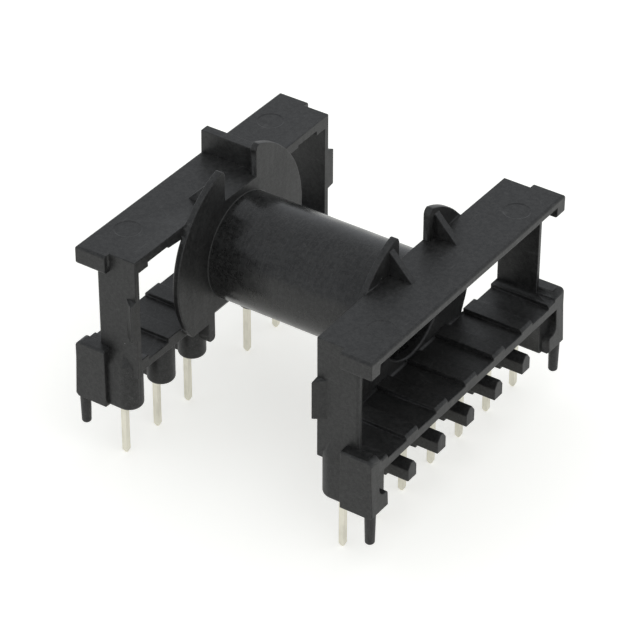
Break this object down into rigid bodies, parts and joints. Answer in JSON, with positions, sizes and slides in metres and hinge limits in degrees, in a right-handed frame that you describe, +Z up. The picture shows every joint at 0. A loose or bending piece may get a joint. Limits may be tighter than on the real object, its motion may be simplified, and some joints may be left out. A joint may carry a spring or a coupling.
{
  "type": "transformer bobbin",
  "caption": "Moulded horizontal coil former: winding tube between two discs, an open end frame for the core outside each, and tinned board pins in two rows.",
  "frame": {"origin": "middle of the footprint, level with the tips of the pins", "axes": "+X along the winding tube towards the full row of pins, +Y along the rows, +Z up from the board"},
  "size_m": [0.0344, 0.0342, 0.0269],
  "materials": {
    "moulding": "satin black moulded plastic",
    "pins": "tinned"
  },
  "bodies": {
    "root": {"coil_former": "moulding", "pin_1": "pins", "pin_2": "pins", "pin_3": "pins", "pin_4": "pins", "pin_5": "pins", "pin_6": "pins", "pin_7": "pins", "pin_8": "pins", "pin_9": "pins", "pin_10": "pins", "pin_11": "pins", "pin_12": "pins", "pin_13": "pins"}
  },
  "joints": []
}
